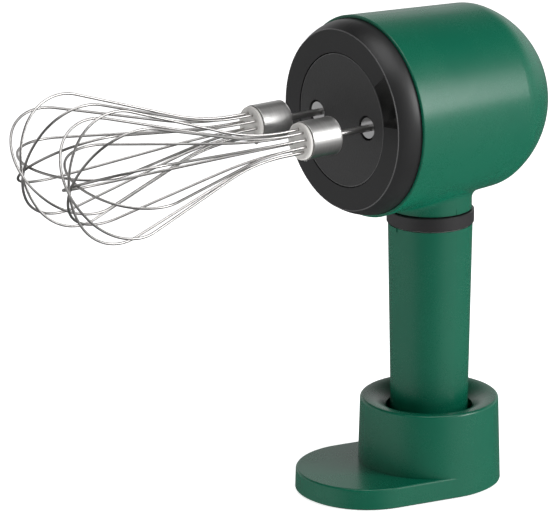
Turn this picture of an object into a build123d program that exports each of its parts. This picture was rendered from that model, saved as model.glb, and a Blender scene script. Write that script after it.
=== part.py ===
from build123d import *
import os
from math import acos, asin, atan2, cos, degrees, pi, radians, sin, sqrt, tan

# A cordless hand mixer standing upright in its stand, in millimetres.
# z = 0 is the stand's underside, the handle's axis is the Z axis, and the two
# whisks point along -Y from the sockets in the head.

# ---------------------------------------------------------------- stand
pad_height = 0.8
pad_inset = 1.5
stand_wall = 2.4
stand_radius = 30.8
stand_rim_radius = 29.7
stand_height = 37.4
rim_edge_radius = 1.2
rim_land = 1.5
lip_drop = 4.2
lip_gap = 2.0
plate_height = 9.5
plate_edge_radius = 1.0
foot_reach = 29.8
foot_turn_deg = 11.5
base_cover_thickness = 1.5
base_cover_gap = 0.2
well_floor_z = 4.7
well_floor_thickness = 2.2
well_gap = 0.6
rest_gap = 0.3
rib_thickness = 1.6
stand_post_radius = 3.2
stand_post_spread = 17.0
stand_post_top_z = 20.0
foot_post_forward = 8.2
foot_post_spread = 14.0
stand_pilot_depth = 5.0
stand_screw_bite = 4.5

# ---------------------------------------------------------------- handle
handle_length = 109.6
handle_radius_top = 18.0
handle_radius_base = 16.1
handle_wall = 1.9
end_cap_height = 3.0
end_cap_edge_radius = 1.2
end_cap_plug_depth = 2.5
index_width = 0.8
index_height = 1.6
index_depth = 0.4
end_cap_plug_wall = 1.6
end_cap_plug_fit = 0.15
end_screw_spread = 10.5

# ---------------------------------------------------------------- speed ring
ring_gap = 0.5
ring_height = 5.8
ring_proud = 0.6
ring_chamfer = 0.35
ring_fit = 0.1
ring_travel_deg = 90.0
lug_half_deg = 6.0
lug_stop_gap_deg = 1.0
lug_depth = 1.1
lug_height = 2.6
lug_fit = 0.15
spigot_radius = 15.5
spigot_bore = 13.4
spigot_depth = 17.0
magnet_radius = 0.9
magnet_length = 1.6
magnet_skin = 0.2
washer_thickness = 0.3
washer_inset = 0.8
washer_bore_fit = 0.15
sensor_board_width = 12.0
sensor_board_height = 14.0
sensor_board_thickness = 1.0
sensor_board_y = 10.2
sensor_drop = 3.0
sensor_size = 2.6
sensor_spread = 4.0

# ---------------------------------------------------------------- head shell
neck_radius = 17.6
neck_length = 2.6
neck_flare_radius = 3.5
shell_rim_radius = 42.6
shell_rim_y = -37.8
shell_rim_edge = 0.5
shell_wall = 2.4
shell_draft_deg = 3.0
shell_side_length = 58.9
shell_shoulder_radius = 15.2
shell_shoulder_deg = 20.4
board_post_radius = 2.6
board_post_reach = 17.0

# ---------------------------------------------------------------- front cap
cap_depth = 10.0
cap_step = 4.6
cap_fit = 0.25
cap_rim_inset = 1.45
cap_spigot_length = 3.8
cap_wall = 1.8
cap_edge_radius = 0.5
cap_web = 2.0
plate_recess = 0.3
face_plate_thickness = 2.0
face_plate_radius = 28.0
face_plate_gap = 0.4
face_plate_edge = 0.3
window_start_deg = 6.0
window_end_deg = 40.0
window_thickness = 1.4
window_margin = 0.5
window_board_thickness = 1.1
window_board_gap = 0.1
window_board_inset = 0.3
led_count = 4
led_radius = 1.0
led_height = 0.8
cap_screw_inset = 4.0
cap_screw_bite = 3.0
cap_pilot_depth = 3.2
cap_screw_lug = 0.9
upper_screw_gap = 0.4
cap_bulge_forward = 0.42
cap_bulge_out = 0.74
cap_inner_relief = 0.3
lower_screws_deg = (228.0, 312.0)

# ---------------------------------------------------------------- gear train
drive_teeth = 42
idler_small_teeth = 14
idler_large_teeth = 36
pinion_teeth = 10
pressure_deg = 25.0
addendum = 0.8
dedendum = 1.1
backlash = 0.24
housing_inset = 0.86
housing_wall = 2.0
tooth_gap = 0.9
housing_plate = 2.5
gear_side_gap = 0.8
drive_gear_width = 6.0
idler_overhang = 0.6
idler_hub_length = 0.6
large_gear_width = 4.5
pinion_length = 5.6
pillar_radius = 3.0
pillar_clearance = 0.6
axle_radius = 1.5
running_fit = 0.03
axle_seat = 1.7
axle_rear_seat = 1.5
gearbox_end_gap = 1.0
pinion_setback = 1.2
pilot_setback = 0.4
pilot_tip_gap = 0.5
bush_boss_wall = 1.4
boss_hole_gap = 0.2
motor_screw_head_height = 1.2
motor_screw_head_gap = 0.05

# ---------------------------------------------------------------- sockets
socket_radius = 4.75
socket_recess = 0.5
socket_hole_gap = 0.5
journal_radius = 3.5
bush_wall_front = 1.75
bush_wall_rear = 1.5
bush_proud = 0.4
rear_bush_length = 6.6
key_width = 1.0
key_height = 1.4
key_length = 5.0
key_fit = 0.15
clip_wire = 0.95
clip_opening = 1.2
clip_setback = 1.0
socket_mouth_chamfer = 0.4
socket_bore_spare = 0.8
spindle_end_gap = 0.4
stem_reach = 4.0
flat_depth = 0.5
key_slot_spare = 0.6
gear_web_recess = 1.5
gear_hub_wall = 2.0
gear_rim_modules = 3.0

# ---------------------------------------------------------------- motor
motor_radius = 15.0
motor_length = 36.8
motor_wall = 1.2
motor_cap_length = 3.0
motor_cap_edge = 0.8
motor_shaft_radius = 1.25
motor_boss_radius = 3.5
motor_boss_length = 1.0
motor_screw_offset = 9.0
motor_screw_deg = 30.0
magnet_wall = 1.7
armature_gap = 0.6
armature_length = 16.0
armature_setback = 10.4
winding_length = 3.6
commutator_radius = 3.6
commutator_length = 4.5
segment_gap = 0.4
segment_gap_depth = 0.6
board_gap = 4.0
board_radius = 21.0
board_thickness = 1.6
board_centre_hole = 2.0
shaft_end_spare = 1.0
capacitor_radius = 4.0
capacitor_height = 9.0
driver_length = 9.0
driver_width = 4.0
chip_length = 12.0
chip_width = 5.0
chip_height = 4.0
magnet_overhang = 2.0
magnet_span_deg = 150.0
slot_count = 5
slot_width = 2.4
slot_neck_share = 0.35
slot_centre_share = 0.58
slot_bulb_share = 0.2
winding_inset = 1.2
winding_edge = 1.0
winding_bore_gap = 1.5
winding_gap = 0.8
brush_length = 5.0
brush_width = 2.2
brush_depth = 3.2
brush_gap = 0.3
brush_arm_width = 1.0
brush_setback = 0.5
terminal_spread = 11.0
terminal_height = 2.5
terminal_width = 3.0
terminal_thickness = 0.6

# ---------------------------------------------------------------- power
cell_radius = 9.25
cell_length = 65.2
cell_offset_y = -2.6
cell_rise = 17.0
holder_wall = 1.2
holder_fit = 0.2
holder_base = 3.0
contact_thickness = 0.3
contact_radius = 4.0
cell_edge_radius = 0.6
holder_open_width = 40.0
holder_open_depth = 20.0
holder_side_gap = 0.6
charge_board_thickness = 1.2
charge_board_width = 16.0
charge_board_length = 48.0
charge_board_y = 9.6
port_width = 8.94
port_height = 3.26
port_length = 7.3
port_gap = 0.3
port_setback = 0.6
port_wall = 0.3
port_back = 1.0
port_tongue_inset = 1.3
port_tongue_setback = 0.8
port_tongue_thickness = 0.7
charge_board_gap = 0.3
charge_chip_width = 4.0
charge_chip_length = 5.0
charge_chip_height = 1.0

# ---------------------------------------------------------------- whisks
stem_radius = 1.5
stem_fit = 0.06
ferrule_radius = 8.0
ferrule_wall = 0.7
ferrule_length = 14.5
ferrule_standoff = 18.2
core_flange_thickness = 1.5
core_flange_inset = 0.35
core_gap = 0.4
core_chamfer = 0.45
wire_radius = 0.55
wire_circle_radius = 5.0
wire_embed = 9.0
wire_fit = 0.02
whisk_radius = 26.5
whisk_reach = 113.4
whisk_flare_deg = 19.0
whisk_neck_radius = 95.0
whisk_shoulder_radius = 22.0
whisk_nose_deg = 58.0
loop_count = 5
loop_gap = 0.2
whisk_turn_right_deg = -15.0
whisk_turn_left_deg = -5.0
whisk_pin_radius = 0.7
whisk_pin_proud = 0.6
whisk_pin_setback = 1.6
core_socket_setback = 4.0
core_neck_inset = 0.5
stem_tip_chamfer = 0.5

# ---------------------------------------------------------------- fasteners
screw_radius = 1.1
screw_clearance = 0.2
screw_head_radius = 1.9
screw_head_height = 1.6
screw_head_sink = 0.1

# ---------------------------------------------------------------- levels along the handle
handle_base_z = well_floor_z + rest_gap
handle_top_z = handle_base_z + handle_length
sleeve_base_z = handle_base_z + end_cap_height
ring_base_z = handle_top_z + ring_gap
ring_top_z = ring_base_z + ring_height
neck_base_z = ring_top_z + ring_gap
head_z = neck_base_z + neck_length + shell_rim_radius
ring_radius = handle_radius_top + ring_proud

# ---------------------------------------------------------------- levels along the head
face_y = shell_rim_y - cap_depth
plate_front_y = face_y + plate_recess
plate_back_y = plate_front_y + face_plate_thickness
web_back_y = plate_back_y + cap_web
gearbox_front_y = web_back_y + housing_plate
drive_gear_y0 = gearbox_front_y + gear_side_gap
drive_gear_y1 = drive_gear_y0 + drive_gear_width
idler_y0 = drive_gear_y0 - idler_overhang / 2
idler_y1 = drive_gear_y1 + idler_overhang * 2
large_gear_y0 = idler_y1 + idler_hub_length
large_gear_y1 = large_gear_y0 + large_gear_width
gearbox_floor_y = large_gear_y1 + gearbox_end_gap
gearbox_back_y = gearbox_floor_y + housing_plate
journal_y0 = drive_gear_y1 + idler_overhang
spindle_back_y = gearbox_back_y - spindle_end_gap
rear_bush_y0 = gearbox_back_y - rear_bush_length
pinion_y0 = drive_gear_y1 + pinion_setback
motor_back_y = gearbox_back_y + motor_length
motor_end_y = motor_back_y + motor_cap_length
board_y = motor_end_y + board_gap

# ---------------------------------------------------------------- gear sizes and centres
cap_face_radius = shell_rim_radius - cap_step
housing_reach = cap_face_radius - housing_inset
spindle_x = (housing_reach - tooth_gap - housing_wall) / (2 + 2 * addendum / drive_teeth)
gear_module = 2 * spindle_x / drive_teeth


def pitch_radius(teeth):
    return gear_module * teeth / 2


def tip_radius(teeth):
    return pitch_radius(teeth) + addendum * gear_module


def circle_crossing(c1, r1, c2, r2):
    """Where two circles cross, on the left of the line from c1 to c2."""
    span = sqrt((c2[0] - c1[0]) ** 2 + (c2[1] - c1[1]) ** 2)
    along = (span**2 + r1**2 - r2**2) / (2 * span)
    aside = sqrt(r1**2 - along**2)
    ux = (c2[0] - c1[0]) / span
    uz = (c2[1] - c1[1]) / span
    return (c1[0] + along * ux - aside * uz, c1[1] + along * uz + aside * ux)


right_centre = (spindle_x, 0.0)
left_centre = (-spindle_x, 0.0)
idler_from_drive = pitch_radius(drive_teeth) + pitch_radius(idler_small_teeth)
idler_from_motor = pitch_radius(idler_large_teeth) + pitch_radius(pinion_teeth)
idler_centre = circle_crossing(left_centre, idler_from_drive, (0.0, 0.0), idler_from_motor)


def bearing_deg(start, end):
    """Direction from one centre to another, in degrees from +X towards +Z."""
    return degrees(atan2(end[1] - start[1], end[0] - start[0]))


def meshed_turn(turn, teeth, start, end, other_teeth):
    """Turn that sets a gear at end in mesh with a gear at start that has a tooth at turn."""
    direction = bearing_deg(start, end)
    teeth_past = (direction - turn) / (360 / teeth)
    return direction + 180 - (360 / other_teeth) * (0.5 - teeth_past)


left_turn = 0.0
right_turn = meshed_turn(left_turn, drive_teeth, left_centre, right_centre, drive_teeth)
idler_turn = meshed_turn(left_turn, drive_teeth, left_centre, idler_centre, idler_small_teeth)
pinion_turn = meshed_turn(idler_turn, idler_large_teeth, idler_centre, (0.0, 0.0), pinion_teeth)


# ---------------------------------------------------------------- planes and profiles
def facing(y, centre=(0.0, 0.0)):
    """Plane across the head at y, seen from the front: its x is +X and its y is +Z."""
    return Plane(
        origin=(centre[0], y, head_z + centre[1]), x_dir=(1, 0, 0), z_dir=(0, -1, 0)
    )


def head_section(centre=(0.0, 0.0)):
    """Half-section plane for turned pieces along Y: its x is +Y and its y is the radius."""
    return Plane(
        origin=(centre[0], 0, head_z + centre[1]), x_dir=(0, 1, 0), z_dir=(1, 0, 0)
    )


def head_axis(centre=(0.0, 0.0)):
    return Axis((centre[0], 0, head_z + centre[1]), (0, 1, 0))


def foot_plane(z):
    """Plane at height z whose x runs from the cup towards the foot."""
    turn = radians(foot_turn_deg)
    return Plane(origin=(0, 0, z), x_dir=(-sin(turn), -cos(turn), 0), z_dir=(0, 0, 1))


def handle_radius(z):
    share = (z - handle_base_z) / handle_length
    return handle_radius_base + (handle_radius_top - handle_radius_base) * share


def polar(radius, degrees_):
    return (radius * cos(radians(degrees_)), radius * sin(radians(degrees_)))


def disc(y0, y1, radius, bore=0.0, centre=(0.0, 0.0), mode=Mode.ADD):
    """Add a disc or ring between y0 and y1 to the open part."""
    with BuildSketch(facing(y1, centre)) as section:
        Circle(radius)
        if bore:
            Circle(bore, mode=Mode.SUBTRACT)
    extrude(section.sketch, amount=y1 - y0, mode=mode)


def upright_disc(z0, z1, radius, bore=0.0, centre=(0.0, 0.0), mode=Mode.ADD):
    """Add a disc or ring between z0 and z1 to the open part."""
    with BuildSketch(Plane.XY.offset(z0)) as section:
        with Locations(centre):
            Circle(radius)
            if bore:
                Circle(bore, mode=Mode.SUBTRACT)
    extrude(section.sketch, amount=z1 - z0, mode=mode)


def upright_cone(z0, r0, z1, r1, mode=Mode.ADD):
    """Add a cone frustum about the handle's axis to the open part."""
    with BuildSketch(Plane.XZ) as section:
        Polygon((0, z0), (r0, z0), (r1, z1), (0, z1), align=None)
    revolve(section.sketch, axis=Axis.Z, mode=mode)


def stadium(z, height, radius, taper=0.0, mode=Mode.ADD):
    """Add the foot's outline, a slot from the cup's axis to the foot's, to the open part."""
    with BuildSketch(foot_plane(z)) as section:
        with Locations((foot_reach / 2, 0)):
            SlotCenterToCenter(foot_reach, 2 * radius)
    extrude(section.sketch, amount=height, taper=taper, mode=mode)


def gear_outline(teeth, turn):
    """Draw a spur gear's face in the open sketch, with one tooth centred at turn."""
    pitch = pitch_radius(teeth)
    tip = tip_radius(teeth)
    root = pitch - dedendum * gear_module
    base = pitch * cos(radians(pressure_deg))
    thinning = backlash / 4 / pitch

    def half_angle(radius):
        flank = acos(min(1.0, base / radius))
        pressure = radians(pressure_deg)
        opening = (tan(pressure) - pressure) - (tan(flank) - flank)
        return degrees(pi / (2 * teeth) - thinning + opening)

    step = 360 / teeth
    with BuildLine() as outline:
        for index in range(teeth):
            middle = turn + index * step
            root_half = half_angle(max(root, base))
            rise = [polar(r, middle - half_angle(max(r, base))) for r in (root, pitch, tip)]
            fall = [polar(r, middle + half_angle(max(r, base))) for r in (tip, pitch, root)]
            ThreePointArc(*rise)
            ThreePointArc(rise[2], polar(tip, middle), fall[0])
            ThreePointArc(*fall)
            ThreePointArc(
                fall[2], polar(root, middle + step / 2), polar(root, middle + step - root_half)
            )
    make_face(outline.edges())


def gear_body(y0, y1, teeth, turn, bore, centre):
    """Add a spur gear between y0 and y1 to the open part."""
    with BuildSketch(facing(y1, centre)) as section:
        gear_outline(teeth, turn)
        if bore:
            Circle(bore, mode=Mode.SUBTRACT)
    extrude(section.sketch, amount=y1 - y0)


def screw_along_y(head_y, tip_y, centre):
    """Add a pan-head screw whose head lies behind head_y and whose tip points to -Y."""
    disc(head_y, head_y + screw_head_height, screw_head_radius, centre=centre)
    disc(tip_y, head_y, screw_radius, centre=centre)


os.makedirs("parts", exist_ok=True)


def keep(part, label):
    part.label = label
    export_step(part, f"parts/{label}.step")


# ---------------------------------------------------------------- stand shell
lip_z = stand_height - lip_drop
lip_radius = handle_radius(lip_z) + lip_gap
well_base_radius = handle_radius_base + well_gap
stand_draft_deg = degrees(atan2(stand_radius - stand_rim_radius, stand_height))
shell_base_z = pad_height
cover_top_z = shell_base_z + base_cover_thickness
rib_reach = stand_rim_radius - stand_wall / 2
stand_posts = [(-stand_post_spread, side * stand_post_spread) for side in (-1, 1)]
foot_posts = [(foot_reach + foot_post_forward, side * foot_post_spread) for side in (-1, 1)]

with BuildPart() as foot_block:
    stadium(0, plate_height, stand_radius, taper=stand_draft_deg)
    fillet(foot_block.faces().sort_by(Axis.Z)[-1].edges(), plate_edge_radius)

with BuildPart() as stand_shell:
    with BuildSketch(Plane.XZ):
        with BuildLine():
            side = Polyline((0, 0), (stand_radius, 0), (stand_rim_radius, stand_height))
            land = Line(side @ 1, (stand_rim_radius - rim_land, stand_height))
            lip = TangentArc(land @ 1, (lip_radius, lip_z), tangent=(-1, 0))
            Polyline(lip @ 1, (0, lip_z), (0, 0))
        make_face()
    revolve(axis=Axis.Z)
    rim_edge = edges().filter_by(GeomType.CIRCLE).group_by(Axis.Z)[-1].sort_by(SortBy.RADIUS)[-1]
    fillet(rim_edge, rim_edge_radius)
    add(foot_block.part)
    with BuildSketch(Plane.XZ):
        Polygon(
            (0, -1),
            (stand_radius - stand_wall, -1),
            (stand_rim_radius - stand_wall, stand_height - 2 * stand_wall),
            (lip_radius + stand_wall, lip_z - stand_wall),
            (0, lip_z - stand_wall),
            align=None,
        )
    revolve(axis=Axis.Z, mode=Mode.SUBTRACT)
    stadium(-1, 1 + plate_height - stand_wall, stand_radius - stand_wall, mode=Mode.SUBTRACT)
    upright_cone(
        well_floor_z - well_floor_thickness,
        well_base_radius + stand_wall,
        lip_z - stand_wall / 2,
        lip_radius + stand_wall,
    )
    with BuildSketch(foot_plane(cover_top_z)):
        for corner_deg in (45, 135, 225, 315):
            with Locations(Rotation(0, 0, corner_deg)):
                with Locations(((rib_reach + well_base_radius) / 2, 0)):
                    Rectangle(rib_reach - well_base_radius, rib_thickness)
    extrude(amount=lip_z - stand_wall / 2 - cover_top_z)
    with BuildSketch(foot_plane(cover_top_z)):
        with Locations(*stand_posts):
            Circle(stand_post_radius)
    extrude(amount=stand_post_top_z - cover_top_z)
    with BuildSketch(foot_plane(cover_top_z)):
        with Locations(*foot_posts):
            Circle(stand_post_radius)
    extrude(amount=plate_height - stand_wall / 2 - cover_top_z)
    with BuildSketch(Plane.XZ):
        Polygon(
            (0, well_floor_z),
            (well_base_radius, well_floor_z),
            (lip_radius, lip_z),
            (lip_radius, stand_height + 1),
            (0, stand_height + 1),
            align=None,
        )
    revolve(axis=Axis.Z, mode=Mode.SUBTRACT)
    with BuildSketch(foot_plane(cover_top_z)):
        with Locations(*stand_posts, *foot_posts):
            Circle(screw_radius)
    extrude(amount=stand_pilot_depth, mode=Mode.SUBTRACT)
    with BuildSketch(Plane.XY):
        Rectangle(8 * stand_radius, 8 * stand_radius)
    extrude(amount=shell_base_z, mode=Mode.SUBTRACT)
keep(stand_shell.part, "stand_shell")

with BuildPart() as stand_base_cover:
    stadium(shell_base_z, base_cover_thickness, stand_radius - stand_wall - base_cover_gap)
    with BuildSketch(foot_plane(cover_top_z)):
        with Locations(*stand_posts, *foot_posts):
            Circle(screw_radius + screw_clearance)
    extrude(amount=-base_cover_thickness, mode=Mode.SUBTRACT)
    with BuildSketch(foot_plane(shell_base_z)):
        with Locations(*stand_posts, *foot_posts):
            Circle(screw_head_radius + screw_clearance)
    extrude(amount=base_cover_thickness / 2, mode=Mode.SUBTRACT)
keep(stand_base_cover.part, "stand_base_cover")

with BuildPart() as stand_screws:
    with BuildSketch(foot_plane(shell_base_z)):
        with Locations(*stand_posts, *foot_posts):
            Circle(screw_head_radius)
    extrude(amount=base_cover_thickness / 2)
    with BuildSketch(foot_plane(shell_base_z)):
        with Locations(*stand_posts, *foot_posts):
            Circle(screw_radius)
    extrude(amount=base_cover_thickness + stand_screw_bite)
keep(stand_screws.part, "stand_screws")

with BuildPart() as stand_pad:
    stadium(0, pad_height, stand_radius - pad_inset)
keep(stand_pad.part, "stand_pad")

# ---------------------------------------------------------------- handle
with BuildPart() as handle_sleeve:
    upright_cone(sleeve_base_z, handle_radius(sleeve_base_z), handle_top_z, handle_radius_top)
    upright_cone(
        sleeve_base_z,
        handle_radius(sleeve_base_z) - handle_wall,
        handle_top_z,
        handle_radius_top - handle_wall,
        mode=Mode.SUBTRACT,
    )
    with BuildSketch(Plane.XZ.offset(handle_radius_top - index_depth)):
        with Locations((0, handle_top_z - index_height / 2)):
            Rectangle(index_width, index_height)
    extrude(amount=handle_wall, mode=Mode.SUBTRACT)
keep(handle_sleeve.part, "handle_sleeve")

port_y = charge_board_y - port_height / 2
end_screws = [(-end_screw_spread, 0), (end_screw_spread, 0)]
plug_radius = handle_radius(sleeve_base_z) - handle_wall - end_cap_plug_fit

with BuildPart() as handle_end_cap:
    upright_cone(handle_base_z, handle_radius_base, sleeve_base_z, handle_radius(sleeve_base_z))
    lowest = edges().filter_by(GeomType.CIRCLE).sort_by(Axis.Z)[0]
    fillet(lowest, end_cap_edge_radius)
    upright_disc(
        sleeve_base_z,
        sleeve_base_z + end_cap_plug_depth,
        plug_radius,
        plug_radius - end_cap_plug_wall,
    )
    with BuildSketch(Plane.XY.offset(handle_base_z)):
        with Locations((0, port_y)):
            Rectangle(port_width + 2 * port_gap, port_height + 2 * port_gap)
        with Locations(*end_screws):
            Circle(screw_radius + screw_clearance)
    extrude(amount=end_cap_height, mode=Mode.SUBTRACT)
    with BuildSketch(Plane.XY.offset(handle_base_z)):
        with Locations(*end_screws):
            Circle(screw_head_radius + screw_clearance)
    extrude(amount=screw_head_height, mode=Mode.SUBTRACT)
keep(handle_end_cap.part, "handle_end_cap")

cell_z0 = handle_base_z + cell_rise
cell_z1 = cell_z0 + cell_length
cell_centre = (0, cell_offset_y)
holder_z0 = cell_z0 - contact_thickness - holder_base
holder_z1 = cell_z1 + contact_thickness + holder_base
holder_radius = cell_radius + holder_fit + holder_wall

with BuildPart() as battery_holder:
    with BuildSketch(Plane.XY.offset(holder_z0)):
        Circle(handle_radius(holder_z0) - handle_wall - holder_side_gap)
        with Locations((0, charge_board_y - charge_board_gap)):
            Rectangle(
                holder_open_width,
                holder_open_depth,
                align=(Align.CENTER, Align.MIN),
                mode=Mode.SUBTRACT,
            )
    extrude(amount=holder_base)
    upright_disc(holder_z1 - holder_base, holder_z1, holder_radius, centre=cell_centre)
    with BuildSketch(Plane.XY.offset(holder_z0)):
        with Locations(cell_centre):
            Circle(holder_radius)
            Circle(holder_radius - holder_wall, mode=Mode.SUBTRACT)
            Rectangle(
                holder_open_width,
                holder_open_depth,
                align=(Align.CENTER, Align.MIN),
                mode=Mode.SUBTRACT,
            )
    extrude(amount=holder_z1 - holder_z0)
    with BuildSketch(Plane.XY.offset(holder_z0)):
        with Locations(*end_screws):
            Circle(screw_radius)
    extrude(amount=holder_base, mode=Mode.SUBTRACT)
keep(battery_holder.part, "battery_holder")

with BuildPart() as end_cap_screws:
    for spot in end_screws:
        head_z0 = handle_base_z + screw_head_sink
        head_z1 = handle_base_z + screw_head_height
        upright_disc(head_z0, head_z1, screw_head_radius, centre=spot)
        upright_disc(head_z1, holder_z0 + holder_base, screw_radius, centre=spot)
keep(end_cap_screws.part, "end_cap_screws")

with BuildPart() as battery_cell:
    upright_disc(cell_z0, cell_z1, cell_radius, centre=cell_centre)
    fillet(battery_cell.edges().filter_by(GeomType.CIRCLE), cell_edge_radius)
keep(battery_cell.part, "battery_cell")

with BuildPart() as battery_contacts:
    upright_disc(cell_z0 - contact_thickness, cell_z0, contact_radius, centre=cell_centre)
    upright_disc(cell_z1, cell_z1 + contact_thickness, contact_radius, centre=cell_centre)
keep(battery_contacts.part, "battery_contacts")

board_z0 = sleeve_base_z + end_cap_plug_depth + charge_board_gap
chip_z = board_z0 + charge_board_length - 2 * charge_chip_length
with BuildPart() as charge_board:
    with BuildSketch(Plane.XY.offset(board_z0)):
        with Locations((0, charge_board_y)):
            Rectangle(charge_board_width, charge_board_thickness, align=(Align.CENTER, Align.MIN))
    extrude(amount=charge_board_length)
    with BuildSketch(Plane.XZ.offset(-charge_board_y)):
        with Locations((-charge_chip_width, chip_z), (charge_chip_width, chip_z)):
            Rectangle(charge_chip_width, charge_chip_length)
    extrude(amount=charge_chip_height)
keep(charge_board.part, "charge_board")

port_z0 = handle_base_z + port_setback
port_corner = port_height / 2 - 0.1


def port_face(inset=0.0, mode=Mode.ADD):
    """Draw the port's rounded outline, moved inwards by inset, on the open sketch's plane."""
    RectangleRounded(
        port_width - 2 * inset, port_height - 2 * inset, port_corner - inset, mode=mode
    )


with BuildPart() as charge_port:
    with BuildSketch(Plane.XY.offset(port_z0)):
        with Locations((0, port_y)):
            port_face()
            port_face(port_wall, Mode.SUBTRACT)
    extrude(amount=port_length)
    with BuildSketch(Plane.XY.offset(port_z0 + port_length - port_back)):
        with Locations((0, port_y)):
            port_face()
    extrude(amount=port_back)
    with BuildSketch(Plane.XY.offset(port_z0 + port_tongue_setback)):
        with Locations((0, port_y)):
            Rectangle(port_width - 2 * port_tongue_inset, port_tongue_thickness)
    extrude(amount=port_length - port_back)
keep(charge_port.part, "charge_port")

# ---------------------------------------------------------------- speed ring
lug_deg = 90 - ring_travel_deg / 2
ring_mid_z = (ring_base_z + ring_top_z) / 2
lug_inner = spigot_radius - lug_depth


def ring_sector(start_deg, end_deg, inner, outer):
    """Draw a ring sector about the handle's axis in the open sketch."""
    middle = (start_deg + end_deg) / 2
    with BuildLine() as outline:
        rim = ThreePointArc(polar(outer, start_deg), polar(outer, middle), polar(outer, end_deg))
        bore = ThreePointArc(polar(inner, end_deg), polar(inner, middle), polar(inner, start_deg))
        Line(rim @ 1, bore @ 0)
        Line(bore @ 1, rim @ 0)
    make_face(outline.edges())


with BuildPart() as ring_magnet:
    spot = polar(lug_inner + magnet_skin, lug_deg)
    toward = (cos(radians(lug_deg)), sin(radians(lug_deg)), 0)
    with BuildSketch(Plane(origin=(spot[0], spot[1], ring_mid_z), z_dir=toward)):
        Circle(magnet_radius)
    extrude(amount=magnet_length)
keep(ring_magnet.part, "ring_magnet")

with BuildPart() as speed_ring:
    upright_disc(ring_base_z, ring_top_z, ring_radius, spigot_radius + ring_fit)
    outer_edges = speed_ring.edges().filter_by(GeomType.CIRCLE).group_by(SortBy.RADIUS)[-1]
    chamfer(outer_edges, ring_chamfer)
    with BuildSketch(Plane.XY.offset(ring_mid_z - lug_height / 2)):
        ring_sector(
            lug_deg - lug_half_deg, lug_deg + lug_half_deg, lug_inner, spigot_radius + 2 * ring_fit
        )
    extrude(amount=lug_height)
    add(ring_magnet.part, mode=Mode.SUBTRACT)
keep(speed_ring.part, "speed_ring")

with BuildPart() as friction_washer:
    upright_disc(
        handle_top_z,
        handle_top_z + washer_thickness,
        handle_radius_top - washer_inset,
        spigot_radius + washer_bore_fit,
    )
keep(friction_washer.part, "friction_washer")

with BuildPart() as sensor_board:
    with BuildSketch(Plane.XZ.offset(-sensor_board_y)):
        with Locations((0, ring_mid_z - sensor_drop)):
            Rectangle(sensor_board_width, sensor_board_height)
    extrude(amount=-sensor_board_thickness)
    with BuildSketch(Plane.XZ.offset(-sensor_board_y)):
        for step in (-1, 0, 1):
            with Locations((step * sensor_spread, ring_mid_z)):
                Rectangle(sensor_size, sensor_size)
    extrude(amount=sensor_board_thickness)
keep(sensor_board.part, "sensor_board")


# ---------------------------------------------------------------- head shell
def head_form(offset, front_y, mode=Mode.ADD):
    """Add or cut the head's turned form, moved inwards by offset, and give its rear pole."""
    draft = radians(shell_draft_deg)
    rim_radius = shell_rim_radius - offset / cos(draft)
    shoulder_radius = shell_shoulder_radius - offset
    end_deg = shell_draft_deg + shell_shoulder_deg
    side_end = rim_radius - shell_side_length * tan(draft)
    with BuildSketch(head_section()) as section:
        with BuildLine():
            flank = Line(
                (front_y, rim_radius - (front_y - shell_rim_y) * tan(draft)),
                (shell_rim_y + shell_side_length, side_end),
            )
            shoulder = JernArc(flank @ 1, flank % 1, shoulder_radius, -shell_shoulder_deg)
            dome_radius = (shoulder @ 1).Y / cos(radians(end_deg))
            dome = JernArc(shoulder @ 1, shoulder % 1, dome_radius, end_deg - 90)
            Polyline(dome @ 1, (front_y, 0), flank @ 0)
        make_face()
    revolve(section.sketch, axis=head_axis(), mode=mode)
    return (dome @ 1).X


with BuildPart() as head_outer:
    shell_pole_y = head_form(0.0, shell_rim_y)
    front_edge = head_outer.edges().filter_by(GeomType.CIRCLE).sort_by(Axis.Y)[0]
    fillet(front_edge, shell_rim_edge)
    upright_disc(neck_base_z, head_z, neck_radius)
    neck_joint = (
        head_outer.edges()
        .filter_by(lambda e: e.geom_type != GeomType.LINE)
        .filter_by(lambda e: e.bounding_box().min.Z > neck_base_z + 0.5)
        .filter_by(lambda e: e.bounding_box().max.Z < head_z - 10)
        .filter_by(lambda e: abs(e.center().Y) < neck_radius)
    )
    fillet(neck_joint, neck_flare_radius)

with BuildPart() as board_posts:
    for post_deg in (60, 180, 300):
        post = polar(board_post_reach, post_deg)
        disc(board_y + board_thickness, shell_pole_y, board_post_radius, centre=post)
    add(head_outer.part, mode=Mode.INTERSECT)

cap_seat_radius = shell_rim_radius - cap_rim_inset + cap_fit
cap_seat_y = shell_rim_y + cap_spigot_length + cap_fit
spigot_base_z = neck_base_z - spigot_depth

with BuildPart() as head_shell:
    add(head_outer.part)
    upright_disc(spigot_base_z, neck_base_z + 1, spigot_radius)
    head_form(shell_wall, shell_rim_y, mode=Mode.SUBTRACT)
    disc(shell_rim_y - 1, cap_seat_y, cap_seat_radius, mode=Mode.SUBTRACT)
    upright_disc(spigot_base_z - 1, head_z, spigot_bore, mode=Mode.SUBTRACT)
    add(board_posts.part)
    slot_half = lug_half_deg + lug_stop_gap_deg
    slot_z0 = ring_mid_z - lug_height / 2 - lug_fit
    with BuildSketch(Plane.XY.offset(slot_z0)):
        ring_sector(
            lug_deg - slot_half,
            lug_deg + ring_travel_deg + slot_half,
            lug_inner - lug_fit,
            spigot_radius + 1,
        )
    extrude(amount=lug_height + 2 * lug_fit, mode=Mode.SUBTRACT)
    with BuildSketch(Plane.XY.offset(spigot_base_z)):
        ring_sector(
            lug_deg - slot_half, lug_deg + slot_half, lug_inner - lug_fit, spigot_radius + 1
        )
    extrude(amount=slot_z0 - spigot_base_z, mode=Mode.SUBTRACT)
keep(head_shell.part, "head_shell")

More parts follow.
